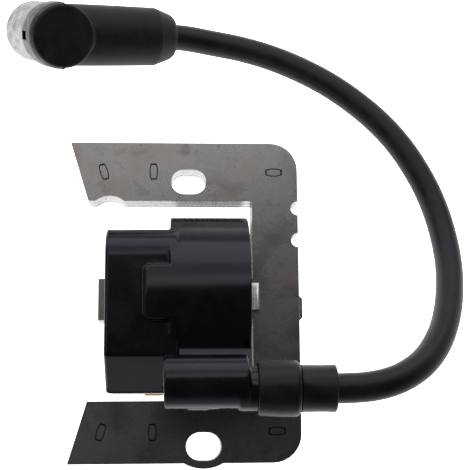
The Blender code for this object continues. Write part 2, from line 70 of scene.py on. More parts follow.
# laminations, and the strip that wedges the coil on them
SHEETS, LUG_HEIGHT = 14, 4.2
SHEET_GAP, SHEET_CHAMFER, SHEET_SHIFT = 0.035, 0.07, 0.035
LANCES = [(49.25, 32.6, 17.0), (36.65, 32.7, 0.0), (6.05, 32.6, 90.0),
          (49.25, -32.6, -17.0), (36.65, -32.7, 0.0), (6.05, -32.6, 90.0)]     # back, up, tilt
LANCE_LENGTH, LANCE_WIDTH, LANCE_GAP, LANCE_TAPER = 4.25, 2.15, 0.25, 0.34
LANCE_DEPTH, TAB_DEPTH, TAB_SINK = 0.45, 0.44, 0.05
CLIP_SKEW = 0.07                                # how far the strip's end leans, in mm per mm
GROOVES, GROOVE_R, GROOVE_PITCH, GROOVE_EDGE, GROOVE_RISE = 4, 0.22, 0.62, 0.9, 0.07

# moulded case
WALL = 1.8
COIL_R, COIL_BACK, COIL_FRONT = 21.2, 32.4, 13.0
BLOCK_BACK, BLOCK_UP, BLOCK_DOWN = 47.9, 16.35, -22.6
BLOCK_TOP, BLOCK_ROUND, BLOCK_LAP = 40.5, 7.5, 2.0
SLOPE_Y, SLOPE_Z, LEAN = -14.9, 30.0, 0.75
PANEL_BACK, PANEL_HALF, PANEL_DEPTH = 38.4, 6.6, 4.0
WEB_UP, WEB_TOP, RIB_UP, RIB_LOW = -14.0, 33.0, -15.8, 28.0
TOWER_Y, TOWER_Z, TOWER_R = -21.45, 46.25, 6.2
TOWER_BACK, TOWER_FRONT = 33.7, 14.4
GATE_R, GATE_SINK, GATE_BACK, GATE_FRONT = 1.1, 0.9, 28.4, 23.3
OUTLET_Y = -23.05
LEDGE_Y, LEDGE_Z, LEDGE_TILT = -13.1, 38.7, 25.0      # sloping fillet between the tower and the bulge
NECK_R, NECK_FRONT = 5.2, 3.5
LEAD_BORE, PIN_SEAT = 3.8, 29.0
BORE_HALF, BORE_LOW, BORE_HIGH = 5.5, CORE_LOW.z - 0.3, CORE_HIGH.z + 1.7
SPADE_BACK, SPADE_FRONT, SPADE_LOW, SPADE_HIGH = 39.3, 33.9, 12.6, 13.7
RECESS_Z, RECESS_DEPTH = 13.4, 0.5
POTTING_BACK, POTTING_TOP, POTTING_CREEP = 0.85, 3.4, 0.55
BUBBLES, BUBBLE_Z = 14, 0.75
SPADE_SHEET, SPADE_TIP, SPADE_HOLE_R, SPADE_HOLE_Z = 0.5, 1.1, 0.75, 3.2

# sleeve
SLEEVE_BACK, SLEEVE_SHOULDER, SLEEVE_END = 12.3, 2.3, -5.9
SLEEVE_R, SLEEVE_SMALL_R, SLEEVE_ROUND, SLEEVE_BORE = 6.5, 5.4, 1.5, 3.85

# boot and shield
ELBOW = Vector((-36.9, 71.0, 22.75))
BOOT_DIR = Vector((0.932, 0.116, -0.345)).normalized()
PLUG_DIR = Vector((-0.363, 0.367, -0.858)).normalized()
ARM_R, ARM_END_R, ARM_MOUTH_R = 8.1, 7.75, 6.0
ARM_BARREL, ARM_TAPER, ARM_LENGTH = 6.0, 27.2, 32.7
HEAD_R, HEAD_RISE, HEAD_DEPTH, HEAD_ROUND, HEAD_NECK_R = 8.2, 8.75, 1.15, 1.0, 7.2
PLUG_R, PLUG_NECK_R, PLUG_STEP, PLUG_LENGTH = 7.8, 7.4, 4.2, 15.5
HEAD_NECK_END, FLASH_HALF, FLASH_RISE = -5.6, 0.22, 0.4
CAVITY_R, CAVITY_TOP = 5.2, 2.6
GRIP_START, GRIP_PITCH, GRIP_WIDTH, GRIP_DEPTH = 6.5, 2.6, 1.1, 0.5
SHIELD_TOP, SHIELD_STEP, SHIELD_END = -7.35, 2.2, 21.2
SHIELD_R, SHIELD_END_R, SHIELD_SHEET = 8.65, 8.2, 0.45
SHIELD_SLOT, SLOT_AT, SLOT_SHIFT = (2.3, 4.0, 2.0), -0.9, (0.0, -0.35, 0.0)
ARM_CLEARANCE, ARM_WAY, DENT = 0.4, 20.0, 0.03

# the lead's route, as in the CAD
LEAD_R = 3.5
LEAD_ROUTE = [
    (4.0, -22.4, 46.25), (14.0, -22.4, 46.25), (24.0, -22.4, 46.25), (33.5, -22.4, 46.2),
    (39.8, -22.0, 45.8), (44.8, -20.9, 44.9), (49.1, -19.1, 43.2), (53.1, -16.5, 40.9),
    (56.5, -13.2, 37.9), (59.6, -8.9, 34.3), (61.8, -4.5, 30.8), (63.6, 0.6, 27.2),
    (65.1, 7.9, 22.6), (65.4, 15.3, 18.7), (64.4, 23.8, 15.6), (62.2, 31.7, 13.5),
    (58.7, 39.4, 12.1), (54.4, 46.3, 11.0), (49.0, 52.6, 10.1), (42.8, 58.2, 9.3),
    (36.2, 63.0, 8.6), (28.7, 67.2, 8.0), (21.1, 70.5, 7.6), (13.0, 72.9, 7.6),
    (4.3, 74.3, 8.5), (-3.8, 74.95, 10.55), (-13.6, 73.9, 14.14), (-22.5, 72.8, 17.43),
    (-31.13, 71.72, 20.62),
]
ROUTE_STEP = 2.5

# fineness of the skins
CASE_STEP = 0.42
BOOT_STEP = 0.36

# camera, in millimetres
CAMERA_AT = (-5.39, -32.72, 302.23)
CAMERA_TURN = (-10.218, 3.051, 0.438)       # degrees about X, Y and Z, from the frame to the camera
LENS, SENSOR = 85.0, 36.0

# floor, in millimetres, and its glow
FLOOR_HALF, FLOOR_SINK = 360.0, 0.05
FLOOR_GLOW, FLOOR_DIM = 1.15, 0.30              # under the part, and far out
FLOOR_NEAR, FLOOR_FAR = 95.0, 190.0             # radii between which the glow fades

# softboxes: azimuth and elevation in degrees, size in metres, radiance, colour
LIGHT_DISTANCE, LIGHT_AIM = 0.6, 0.03           # metres to the point they face, and its height
LIGHTS = (
    ("key_low", 0, 27, (1.1, 0.38), 1.2, (0.95, 0.95, 1.0)),
    ("key_high", 0, 56, (1.0, 0.22), 0.62, (1.0, 0.99, 0.97)),
    ("key_top", -20, 71.0, (0.9, 0.11), 1.05, (1.0, 0.99, 0.97)),
)
# the surroundings' grey at three heights, from the horizon up
SKY = ((0.0, 0.42), (0.18, 0.22), (0.45, 0.036))


def back(distance):
    return SPINE_X - distance


def up(height):
    return CENTRE_Y + height


# --- materials --------------------------------------------------------
def add_node(tree, kind, inputs, **settings):
    """A shader node with its settings, and its inputs given a value or linked to a socket."""
    node = tree.nodes.new("ShaderNode" + kind)
    for name, value in settings.items():
        setattr(node, name, value)
    for name, value in inputs.items():
        if isinstance(value, bpy.types.NodeSocket):
            tree.links.new(value, node.inputs[name])
        else:
            node.inputs[name].default_value = value
    return node


class Finish:
    """A Principled material with a small kit of procedural nodes. Its textures count in millimetres."""

    def __init__(self, name, colour, metallic, roughness, **more):
        self.material = bpy.data.materials.new(name)
        self.material.use_nodes = True
        self.tree = self.material.node_tree
        self.shader = self.tree.nodes["Principled BSDF"]
        self.set("Base Color", (*colour, 1.0))
        self.set("Metallic", metallic)
        self.set("Roughness", roughness)
        for socket, value in more.items():
            self.set(socket.replace("_", " "), value)
        self.millimetres = self.node("TexCoord", {}).outputs["Object"]

    def node(self, kind, inputs, **settings):
        return add_node(self.tree, kind, inputs, **settings)

    def set(self, socket, value):
        self.shader.inputs[socket].default_value = value

    def paint(self, socket, value):
        self.tree.links.new(value, self.shader.inputs[socket])

    def mapped(self, stretch, turn=(0.0, 0.0, 0.0)):
        return self.node("Mapping", {
            "Vector": self.millimetres, "Scale": [s / MM for s in stretch],
            "Rotation": [math.radians(a) for a in turn]}).outputs["Vector"]

    def noise(self, stretch, detail=4.0, rough=0.55, turn=(0.0, 0.0, 0.0), distortion=0.0):
        return self.node("TexNoise", {
            "Vector": self.mapped(stretch, turn), "Scale": 1.0, "Detail": detail, "Roughness": rough,
            "Distortion": distortion}).outputs["Fac"]

    def bands(self, stretch):
        return self.node("TexWave", {"Vector": self.mapped(stretch), "Scale": 1.0}).outputs["Fac"]

    def level(self, value, low, high, out_low=0.0, out_high=1.0):
        return self.node("MapRange", {
            "Value": value, "From Min": low, "From Max": high, "To Min": out_low,
            "To Max": out_high}).outputs["Result"]

    def sum(self, *parts):
        """Weighted sum of (value, weight) pairs."""
        total = 0.0
        for value, weight in parts:
            total = self.node("Math", {0: value, 1: weight, 2: total}, operation="MULTIPLY_ADD").outputs[0]
        return total

    def colours(self, value, stops):
        node = self.node("ValToRGB", {"Fac": value})
        ramp = node.color_ramp
        while len(ramp.elements) < len(stops):
            ramp.elements.new(0.5)
        for element, (position, colour) in zip(ramp.elements, stops):
            element.position = position
            element.color = (*colour, 1.0)
        return node.outputs["Color"]

    def mix(self, factor, first, second, mode="MIX"):
        colours = [(*value, 1.0) if isinstance(value, tuple) else value for value in (first, second)]
        return self.node("Mix", {"Factor": factor, "A": colours[0], "B": colours[1]},
                         data_type="RGBA", blend_type=mode).outputs["Result"]

    def emboss(self, height, depth, strength):
        """Bump of the given depth in millimetres."""
        node = self.node("Bump", {"Height": height, "Strength": strength, "Distance": depth * MM})
        self.paint("Normal", node.outputs["Normal"])


def sheet_face_finish():
    """Dull cold-rolled steel: mottled grey with faint brown and violet stains, specks and fine scratches."""
    f = Finish("sheet_face", (0.3, 0.3, 0.3), 0.85, 0.42)
    patches = f.noise((0.09, 0.09, 0.09), 5, 0.6, distortion=0.4)
    base = f.colours(patches, [(0.3, (0.285, 0.281, 0.281)), (0.5, (0.365, 0.356, 0.345)),
                               (0.62, (0.365, 0.337, 0.321)), (0.75, (0.31, 0.32, 0.302))])
    stains = f.level(f.noise((0.13, 0.16, 0.13), 3, 0.5, distortion=1.2), 0.56, 0.74)
    stained = f.mix(stains, base, (0.275, 0.232, 0.238))
    smudges = f.level(f.noise((0.45, 0.5, 0.45), 4, 0.65, distortion=0.6), 0.62, 0.72)
    stained = f.mix(f.sum((smudges, 0.5)), stained, (0.17, 0.16, 0.154))
    specks = f.level(f.noise((1.1, 1.1, 1.1), 2, 0.7), 0.70, 0.76)
    speckled = f.mix(specks, stained, (0.07, 0.062, 0.06))
    nicks = f.level(f.noise((0.8, 1.3, 0.8), 2, 0.7, turn=(0, 0, 30)), 0.735, 0.75)
    f.paint("Base Color", f.mix(nicks, speckled, (0.62, 0.61, 0.6)))
    scratches = f.noise((0.25, 4.0, 0.25), 3, 0.6, turn=(0, 0, 12))
    grain = f.noise((6, 6, 6), 2, 0.6)
    worn = f.sum((patches, 0.65), (scratches, 0.1), (grain, 0.25))
    f.paint("Roughness", f.level(worn, 0.3, 0.7, 0.22, 0.33))
    f.emboss(f.sum((grain, 0.85), (scratches, 0.15)), 0.012, 0.4)
    return f.material


def sheet_edge_finish():
    """The punched edges of the sheets: bright, with burnish lines across each sheet's thickness."""
    f = Finish("sheet_edge", (0.8, 0.8, 0.78), 0.9, 0.3)
    lines = f.noise((2.6, 2.6, 0.12), 3, 0.6)
    spots = f.noise((0.5, 0.5, 0.9), 3, 0.5)
    f.paint("Base Color", f.colours(f.sum((lines, 0.6), (spots, 0.4)),
                                    [(0.32, (0.46, 0.445, 0.43)), (0.46, (0.76, 0.745, 0.73)),
                                     (0.60, (0.92, 0.915, 0.90))]))
    f.paint("Roughness", f.level(lines, 0.3, 0.7, 0.18, 0.32))
    f.emboss(lines, 0.03, 0.4)
    return f.material


def moulded_finish(name, colour, roughness, gloss_change, peel):
    """Moulded black: faint orange peel, fine dust-like dullness and a few scuffs."""
    f = Finish(name, colour, 0.0, roughness, Specular_Tint=(0.86, 0.87, 1.0, 1.0),
               Specular_IOR_Level=0.46)
    cloudy = f.noise((0.16, 0.16, 0.16), 4, 0.6)
    fine = f.noise((2.2, 2.2, 2.2), 3, 0.6)
    scuffs = f.level(f.noise((0.4, 3.4, 0.9), 4, 0.7, turn=(10, 20, 35)), 0.66, 0.74)
    lighter = tuple(min(1.0, c * 2.3 + 0.004) for c in colour)
    f.paint("Base Color", f.mix(f.level(f.sum((cloudy, 0.7), (fine, 0.3)), 0.40, 0.75), colour, lighter))
    f.paint("Roughness", f.level(f.sum((cloudy, 0.6), (fine, 0.25), (scuffs, 0.3)), 0.3, 0.8,
                                 roughness - gloss_change, roughness + gloss_change * 2))
    f.emboss(f.sum((fine, 0.8), (scuffs, 0.2)), 0.02, peel)
    return f.material


def rubber_finish(name, colour, roughness, grain):
    """Satin to matt rubber with a talc-like cloudiness and a fine grain."""
    f = Finish(name, colour, 0.0, roughness, Specular_Tint=(0.9, 0.9, 1.0, 1.0), Specular_IOR_Level=0.35)
    cloudy = f.noise((0.22, 0.22, 0.22), 5, 0.65)
    fine = f.noise((4.5, 4.5, 4.5), 3, 0.6)
    lighter = tuple(c * 1.9 + 0.004 for c in colour)
    f.paint("Base Color", f.mix(f.level(f.sum((cloudy, 0.75), (fine, 0.25)), 0.42, 0.7), colour, lighter))
    f.paint("Roughness", f.level(cloudy, 0.3, 0.7, roughness - 0.07, roughness + 0.09))
    f.emboss(fine, 0.03, grain)
    return f.material


def shield_finish():
    """Plated sheet metal, drawn round: blotchy dull patches, fine lines along the draw, and painted shade
    darkening the collar from the step up to the boot's head.
    """
    f = Finish("shield_metal", (0.62, 0.62, 0.62), 1.0, 0.4)
    blotches = f.noise((0.34, 0.34, 0.34), 5, 0.62, distortion=0.8)
    fine = f.noise((1.6, 1.6, 1.6), 3, 0.6)
    plating = f.colours(f.sum((blotches, 0.75), (fine, 0.25)),
                        [(0.33, (0.22, 0.22, 0.217)), (0.47, (0.36, 0.36, 0.356)),
                         (0.60, (0.52, 0.52, 0.52))])
    along = f.node("VectorMath", {0: f.millimetres, 1: PLUG_DIR / MM}, operation="DOT_PRODUCT")
    # Painted shade: the collar between the step and the head is darkened to 0.29 of the plating, as shade
    # under the boot's head.
    step = ELBOW.dot(PLUG_DIR) + SHIELD_STEP
    ragged = f.sum((along.outputs["Value"], 1.0), (blotches, 2.0))
    shade = f.level(ragged, step - 0.9, step + 1.1, 0.29, 1.0)
    f.paint("Base Color", f.mix(1.0, plating, shade, "MULTIPLY"))
    f.paint("Roughness", f.level(blotches, 0.3, 0.7, 0.52, 0.34))
    f.emboss(f.sum((blotches, 0.8), (fine, 0.2)), 0.07, 0.4)
    return f.material


def plated_finish(name, colour, roughness):
    """Tinned or brass sheet with a rolled grain and slight tarnish."""
    f = Finish(name, colour, 1.0, roughness)
    rolled = f.noise((0.5, 7.0, 0.5), 3, 0.6)
    tarnish = f.noise((0.35, 0.35, 0.35), 4, 0.6)
    darker = tuple(c * 0.75 for c in colour)
    f.paint("Base Color", f.mix(f.level(f.sum((tarnish, 0.7), (rolled, 0.3)), 0.45, 0.7), colour, darker))
    f.paint("Roughness", f.level(tarnish, 0.3, 0.7, roughness - 0.06, roughness + 0.12))
    f.emboss(rolled, 0.02, 0.4)
    return f.material


def wound_finish(name, colour, pitch):
    """Enamelled wire laid in turns round the leg, with painted shade darkening each turn towards the grooves
    between turns.
    """
    f = Finish(name, colour, 0.75, 0.32, Coat_Weight=0.5, Coat_Roughness=0.2)
    turns = f.bands((0.5 / pitch / math.pi, 0.0, 0.0))
    uneven = f.noise((0.8, 0.25, 0.25), 3, 0.5)
    # Painted shade: the colour drops to 0.45 of itself between turns, where the grooves between wires are
    # shaded.
    f.paint("Base Color", f.mix(turns, tuple(c * 0.45 for c in colour), colour))
    f.paint("Roughness", f.level(uneven, 0.3, 0.7, 0.26, 0.42))
    f.emboss(f.sum((turns, 0.85), (uneven, 0.15)), pitch * 0.5, 0.8)
    return f.material


def plain_detail_finish(name, colour, roughness, weave=(3.0, 3.0, 3.0)):
    """Inner plastic, film, laminate or epoxy, with grain and a little variation."""
    f = Finish(name, colour, 0.0, roughness)
    cloudy = f.noise((0.3, 0.3, 0.3), 4, 0.6)
    fine = f.noise(weave, 3, 0.6)
    darker = tuple(c * 0.7 for c in colour)
    f.paint("Base Color", f.mix(f.level(f.sum((cloudy, 0.6), (fine, 0.4)), 0.35, 0.65), darker, colour))
    f.paint("Roughness", f.level(cloudy, 0.3, 0.7, roughness - 0.08, roughness + 0.1))
    f.emboss(fine, 0.02, 0.5)
    return f.material


def floor_finish():
    """White paper that glows under the part and less far out. The camera sees it white all over."""
    f = Finish("floor_paper", (0.9, 0.9, 0.9), 0.0, 0.85)
    cloudy = f.noise((0.02, 0.02, 0.02), 2, 0.5)
    f.paint("Base Color", f.mix(cloudy, (0.89, 0.89, 0.89), (0.92, 0.92, 0.92)))
    distance = f.node("VectorMath", {0: f.millimetres}, operation="LENGTH")
    glow = f.level(distance.outputs["Value"], FLOOR_NEAR * MM, FLOOR_FAR * MM, FLOOR_GLOW, FLOOR_DIM)
    path = f.node("LightPath", {})
    f.paint("Emission Strength", f.sum((glow, 1.0), (path.outputs["Is Camera Ray"], 1.0)))
    f.set("Emission Color", (1.0, 1.0, 1.0, 1.0))
    return f.material


# --- mesh tools -------------------------------------------------------
def new_piece(name, mesh, *materials):
    for material in materials:
        mesh.materials.append(material)
    piece = bpy.data.objects.new(name, mesh)
    bpy.context.scene.collection.objects.link(piece)
    return piece


def from_bmesh(name, shape, *materials, angle=35):
    """Make a piece of a bmesh drawn in millimetres."""
    bmesh.ops.recalc_face_normals(shape, faces=shape.faces)
    bmesh.ops.scale(shape, vec=(MM, MM, MM), verts=shape.verts)
    mesh = bpy.data.meshes.new(name)
    shape.to_mesh(mesh)
    shape.free()
    mesh.shade_smooth()
    mesh.set_sharp_from_angle(angle=math.radians(angle))
    return new_piece(name, mesh, *materials)


def arc(centre, radius, start, end, steps):
    turn = [math.radians(start + (end - start) * i / steps) for i in range(steps + 1)]
    return [(centre[0] + radius * math.cos(a), centre[1] + radius * math.sin(a)) for a in turn]


def basis(at, direction):
    """Matrix that stands local +Z along direction at a point, in millimetres."""
    return Matrix.Translation(Vector(at)) @ Vector(direction).to_track_quat("Z", "Y").to_matrix().to_4x4()


def lathe(profile, at, direction, sides=96):
    """A bmesh ring turned from a closed profile of (radius, height)."""
    shape = bmesh.new()
    rings = []
    for radius, height in profile:
        if radius == 0.0:
            rings.append([shape.verts.new((0.0, 0.0, height))])
        else:
            angles = [2 * math.pi * i / sides for i in range(sides)]
            rings.append([shape.verts.new((radius * math.cos(a), radius * math.sin(a), height))
                          for a in angles])
    for ring, following in zip(rings, rings[1:] + rings[:1]):
        if len(ring) == 1 and len(following) == 1:
            continue
        for i in range(sides):
            j = (i + 1) % sides
            corners = [ring[i % len(ring)], ring[j % len(ring)], following[j % len(following)],
                       following[i % len(following)]]
            shape.faces.new(list(dict.fromkeys(corners)))
    bmesh.ops.transform(shape, matrix=basis(at, direction), verts=shape.verts)
    return shape


def cut(piece, *tools):
    """Take the tools away from a piece, and remove them."""
    for tool in tools:
        modifier = piece.modifiers.new("cut", "BOOLEAN")
        modifier.operation = "DIFFERENCE"
        modifier.solver = "EXACT"
        modifier.material_mode = "TRANSFER"
        modifier.object = tool
        bake(piece)
        bpy.data.objects.remove(tool, do_unlink=True)
    piece.data.shade_smooth()
    piece.data.set_sharp_from_angle(angle=math.radians(25))


def bake(piece):
    bpy.context.view_layer.update()
    evaluated = piece.evaluated_get(bpy.context.evaluated_depsgraph_get())
    mesh = bpy.data.meshes.new_from_object(evaluated)
    piece.modifiers.clear()
    piece.data = mesh


# --- solids from distance formulas ------------------------------------
def meet(a, b, r):
    """Where both hold, with the edge between them rounded to radius r."""
    return np.minimum(np.maximum(a, b), -r) + np.hypot(np.maximum(a + r, 0), np.maximum(b + r, 0))


def join(a, b, r):
    """Where either holds, with a fillet of radius r between them."""
    return np.maximum(np.minimum(a, b), r) - np.hypot(np.maximum(r - a, 0), np.maximum(r - b, 0))


def carve(a, b, r=0.25):
    """a without b, with the edge between them rounded."""
    return meet(a, -b, r)


def between(v, low, high):
    return np.maximum(low - v, v - high)


def measure(x, y, z, at, direction):
    """How far each point lies along an axis, and how far away from it."""
    px, py, pz = x - at[0], y - at[1], z - at[2]
    along = px * direction[0] + py * direction[1] + pz * direction[2]
    return along, np.sqrt(np.maximum(px * px + py * py + pz * pz - along * along, 0))


def rod_field(x, y, z, up_to, radius, start, end, r):
    """A cylinder along X through the point (y, z) of up_to, with rounded rims."""
    along, away = measure(x, y, z, (0, *up_to), (1, 0, 0))
    return meet(away - radius, between(along, start, end), r)


def skin(field, low, high, step):
    """Surface of field(x, y, z) < 0 as a closed mesh of quads: one point in each cell that it crosses."""
    axes = [np.arange(a, b + step, step) for a, b in zip(low, high)]
    values = field(*np.meshgrid(*axes, indexing="ij"))
    inside = values < 0
    cells = tuple(n - 1 for n in values.shape)
    total, count = np.zeros(cells + (3,)), np.zeros(cells)
    edges = []
    for axis in range(3):
        first = tuple(slice(0, -1) if a == axis else slice(None) for a in range(3))
        second = tuple(slice(1, None) if a == axis else slice(None) for a in range(3))
        crosses = inside[first] != inside[second]
        change = np.where(crosses, values[first] - values[second], 1.0)
        share = np.where(crosses, values[first] / change, 0.0)
        edges.append((crosses, inside[first]))
        others = [a for a in range(3) if a != axis]
        for da in (0, 1):
            for db in (0, 1):
                window = [slice(None)] * 3
                window[others[0]] = slice(da, cells[others[0]] + da)
                window[others[1]] = slice(db, cells[others[1]] + db)
                hit = crosses[tuple(window)]
                count += hit
                total[..., axis] += np.where(hit, share[tuple(window)], 0.0)
                total[..., others[0]] += hit * da
                total[..., others[1]] += hit * db
    used = count > 0
    number = np.full(cells, -1)
    number[used] = np.arange(used.sum())
    where = np.argwhere(used)
    points = (where + total[used] / count[used][:, None]) * step + np.array(low)
    quads = []
    for axis, (crosses, starts_inside) in enumerate(edges):
        a, b = [(axis + 1) % 3, (axis + 2) % 3]
        spots = np.argwhere(crosses)
        spots = spots[(spots[:, a] > 0) & (spots[:, b] > 0)
                      & (spots[:, a] < cells[a]) & (spots[:, b] < cells[b])]
        corners = []
        for da, db in ((-1, -1), (0, -1), (0, 0), (-1, 0)):
            at = spots.copy()
            at[:, a] += da
            at[:, b] += db
            corners.append(number[at[:, 0], at[:, 1], at[:, 2]])
        quad = np.stack(corners, 1)
        flip = ~starts_inside[spots[:, 0], spots[:, 1], spots[:, 2]]
        quad[flip] = quad[flip][:, ::-1]
        quads.append(quad)
    return settle(points, field, 3), np.concatenate(quads)


def slope(points, field, reach=0.02):
    """Direction in which the field grows at each point."""
    steps = np.eye(3) * reach
    return np.stack([(field(*(points + s).T) - field(*(points - s).T)) / (2 * reach) for s in steps], 1)


def settle(points, field, rounds):
    """Move points on to the field's surface."""
    for _ in range(rounds):
        grows = slope(points, field)
        size = np.maximum((grows ** 2).sum(1), 0.2)
        move = (field(*points.T) / size)[:, None] * grows
        points = points - np.clip(move, -0.2, 0.2)
    return points


def solid(name, field, low, high, step, material, keep):
    """A piece from a distance formula, thinned where it is flat, with the formula's own normals."""
    points, quads = skin(field, low, high, step)
    mesh = bpy.data.meshes.new(name)
    mesh.from_pydata((points * MM).tolist(), [], quads.tolist())
    piece = new_piece(name, mesh, material)
    thin = piece.modifiers.new("thin", "DECIMATE")
    thin.ratio = keep
    bake(piece)
    mesh = piece.data
    mesh.shade_smooth()
    flat = np.zeros(len(mesh.vertices) * 3)
    mesh.vertices.foreach_get("co", flat)
    grows = slope(flat.reshape(-1, 3) / MM, field)
    grows /= np.maximum(np.linalg.norm(grows, axis=1), 1e-6)[:, None]
    mesh.normals_split_custom_set_from_vertices(grows.tolist())
    return piece


# --- laminations ------------------------------------------------------
def outlines(node, at_top):
    """The loops round a CAD node's flat top or bottom, in millimetres: the outer one first."""
    shape = bmesh.new()
    shape.from_mesh(NODES[node].data)
    bmesh.ops.remove_doubles(shape, verts=shape.verts, dist=1e-6)
    level = max(v.co.z for v in shape.verts) if at_top else min(v.co.z for v in shape.verts)
    flat = {f for f in shape.faces if all(abs(v.co.z - level) < 1e-6 for v in f.verts)}
    rim = {e for e in shape.edges if sum(f in flat for f in e.link_faces) == 1}
    loops = []
    while rim:
        edge = min(rim, key=lambda e: tuple(e.verts[0].co) + tuple(e.verts[1].co))
        rim.remove(edge)
        loop = [edge.verts[0], edge.verts[1]]
        while True:
            onward = next((e for e in loop[-1].link_edges if e in rim), None)
            if onward is None:
                break
            rim.remove(onward)
            loop.append(onward.other_vert(loop[-1]))
        loops.append([(v.co.x / MM, v.co.y / MM) for v in loop[:-1]])
    shape.free()
    loops.sort(key=lambda loop: -max(p[0] for p in loop) + min(p[0] for p in loop))
    return loops


def turned_loop(loop, clockwise):
    area = sum(a[0] * b[1] - b[0] * a[1] for a, b in zip(loop, loop[1:] + loop[:1]))
    return loop[::-1] if (area < 0) != clockwise else loop


def shrunk(loop, inset):
    """A loop moved to its left side by inset, corners kept."""
    moved = []
    for before, at, after in zip(loop[-1:] + loop[:-1], loop, loop[1:] + loop[:1]):
        a = Vector(at) - Vector(before)
        b = Vector(after) - Vector(at)
        normals = [Vector((-d.y, d.x)).normalized() for d in (a, b)]
        middle = (normals[0] + normals[1]).normalized()
        moved.append(Vector(at) + middle * (inset / max(middle.dot(normals[0]), 0.4)))
    return moved


def prism(shape, loops, levels, wall=0):
    """Outlines given thickness by pairs of height and inset. Their walls take the material numbered wall."""
    rims = [], []
    for loop in loops:
        rings = [[shape.verts.new((*p, z)) for p in shrunk(loop, inset)] for z, inset in levels]
        for ring, above in zip(rings, rings[1:]):
            for i in range(len(ring)):
                j = (i + 1) % len(ring)
                shape.faces.new((ring[i], ring[j], above[j], above[i])).material_index = wall
        for rim, ring in zip(rims, (rings[0], rings[-1])):
            rim += [shape.edges.get((ring[i], ring[(i + 1) % len(ring)])) for i in range(len(ring))]
    for rim in rims:
        bmesh.ops.triangle_fill(shape, use_beauty=True, edges=rim)


def add_sheet(shape, loops, low, high, shift=(0.0, 0.0)):
    """One punched sheet with broken edges. Its flat faces take material 0, its edges material 1."""
    moved = [[(x + shift[0], y + shift[1]) for x, y in loop] for loop in loops]
    prism(shape, moved, ((low, SHEET_CHAMFER), (low + SHEET_CHAMFER, 0.0), (high - SHEET_CHAMFER, 0.0),
                         (high, SHEET_CHAMFER)), 1)


def lens(half, width, low, high, place_at):
    """A bar with bulging long sides, drawn along local Y and put in its place."""
    shape = bmesh.new()
    rings = [[shape.verts.new((side * width / 2 * (1.0 - LANCE_TAPER * t * t), half * t, height))
              for side, height in ((-1, low), (1, low), (1, high), (-1, high))]
             for t in (-1.0, -0.6, -0.2, 0.2, 0.6, 1.0)]
    for ring, following in zip(rings, rings[1:]):
        for i in range(4):
            j = (i + 1) % 4
            shape.faces.new((ring[i], ring[j], following[j], following[i]))
    shape.faces.new(rings[0])
    shape.faces.new(rings[-1])
    bmesh.ops.transform(shape, matrix=place_at, verts=shape.verts)
    return shape


def build_lances(sheet, face):
    """Interlocks: each is a lens-shaped tab pressed down in a pocket whose walls are painted near black as
    painted shade.
    """
    # Painted shade: the pockets' walls get this near-black finish to stand for the shade inside the pockets.
    pocket_wall_shade = Finish("painted_pocket_shade", (0.022, 0.021, 0.02), 0.3, 0.6)
    pocket_wall_shade.paint("Roughness", pocket_wall_shade.level(pocket_wall_shade.noise((2, 2, 2)), 0.3, 0.7, 0.5, 0.75))
    half, wide = LANCE_LENGTH / 2, LANCE_WIDTH
    tabs = bmesh.new()
    for reach, rise, tilt in LANCES:
        there = (Matrix.Translation((back(reach), up(rise), CORE_HIGH.z))
                 @ Matrix.Rotation(math.radians(tilt), 4, "Z"))
        cut(sheet, from_bmesh("pocket", lens(half, wide, -LANCE_DEPTH, 0.3, there), pocket_wall_shade.material))
        tab = lens(half - 1.6 * LANCE_GAP, wide - 2 * LANCE_GAP, -TAB_DEPTH, -TAB_SINK, there)
        mesh = bpy.data.meshes.new("tab")
        tab.to_mesh(mesh)
        tab.free()
        tabs.from_mesh(mesh)
        bpy.data.meshes.remove(mesh)
    locks = from_bmesh("core_interlocks", tabs, face)
    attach(locks, "module")
    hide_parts("core_lamination_stack")


def build_laminations():
    face, edge = sheet_face_finish(), sheet_edge_finish()
    upper = outlines("core_lamination_stack", True)
    lower = outlines("core_lamination_stack", False)
    lug_top = CORE_LOW.z + LUG_HEIGHT
    pitch = (CORE_HIGH.z - CORE_LOW.z) / SHEETS
    random = np.random.default_rng(7)
    shape = bmesh.new()
    outer = None
    for i in range(SHEETS):
        low = CORE_LOW.z + i * pitch
        loops = lower if low + pitch * 0.5 < lug_top else upper
        loops = [turned_loop(loop, k > 0) for k, loop in enumerate(loops)]
        shift = random.uniform(-SHEET_SHIFT, SHEET_SHIFT, 2) if 0 < i < SHEETS - 1 else (0.0, 0.0)
        if i < SHEETS - 1:
            add_sheet(shape, loops, low, low + pitch - SHEET_GAP, shift)
        else:
            outer = loops
    stack = from_bmesh("core_laminations", shape, face, edge)
    shape = bmesh.new()
    add_sheet(shape, outer, CORE_HIGH.z - pitch, CORE_HIGH.z)
    top = from_bmesh("core_outer_lamination", shape, face, edge)
    build_lances(top, face)
    for piece in (stack, top):
        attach(piece, "module")
    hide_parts("core_lamination_stack")
    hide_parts("core_lamination_stack")


